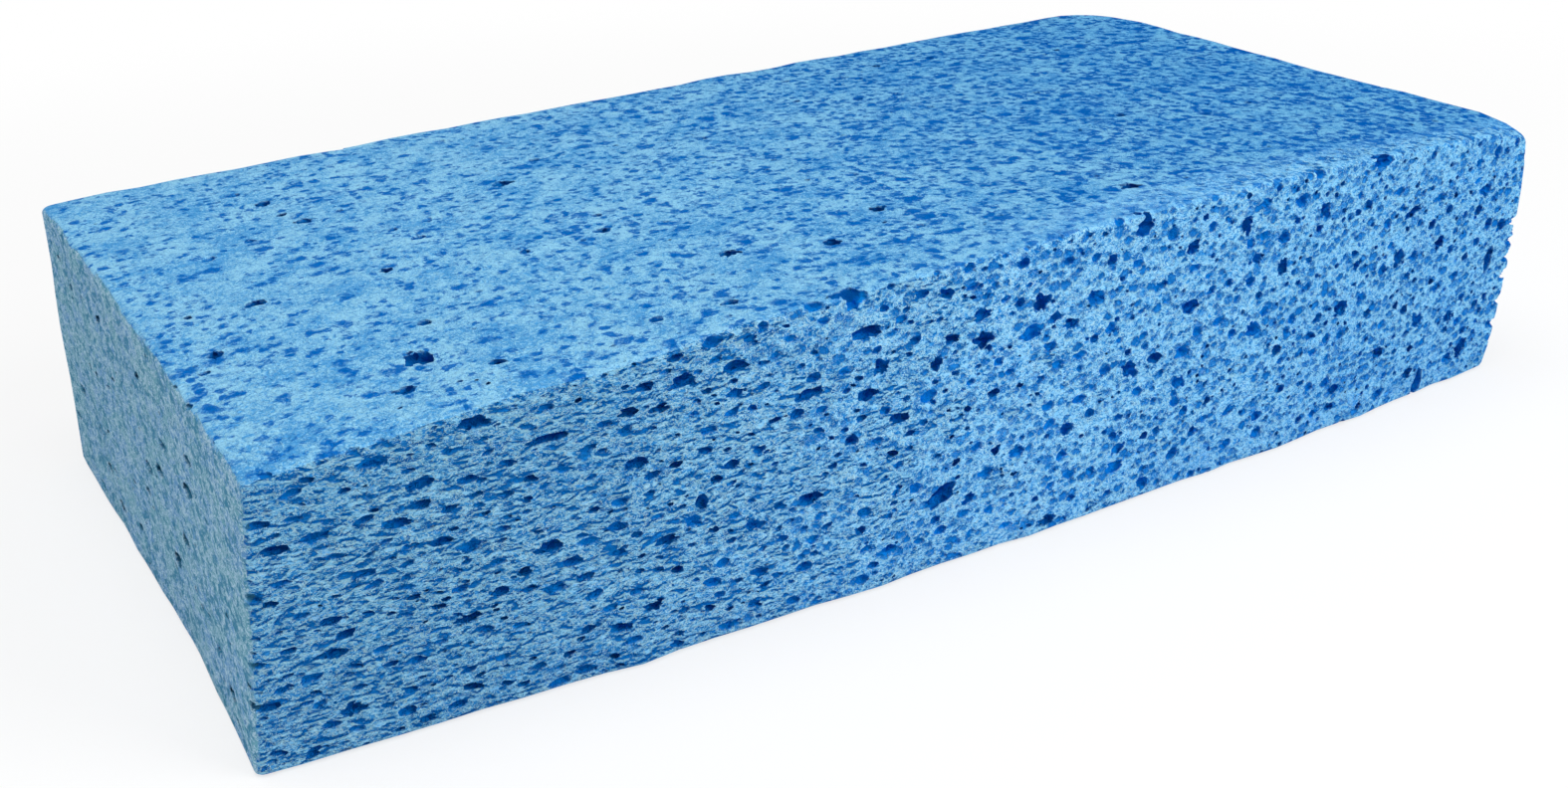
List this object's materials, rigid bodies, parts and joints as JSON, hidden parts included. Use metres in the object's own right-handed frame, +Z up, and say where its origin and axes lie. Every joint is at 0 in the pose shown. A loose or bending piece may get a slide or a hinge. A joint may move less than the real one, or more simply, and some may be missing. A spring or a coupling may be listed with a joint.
{
  "type": "cellulose boat sponge",
  "caption": "Rectangular blue cellulose sponge block with open pores on every side, for washing boats, cars and other large surfaces.",
  "frame": {"origin": "centre of the underside, on the surface that the sponge lies on", "axes": "+X along the length, +Y across the width away from the porous front side, +Z up through the thickness"},
  "size_m": [0.2032, 0.104, 0.0447],
  "materials": {
    "foam": "matt, fibrous, open-pored"
  },
  "bodies": {
    "root": {"sponge_block": "foam"}
  },
  "joints": []
}
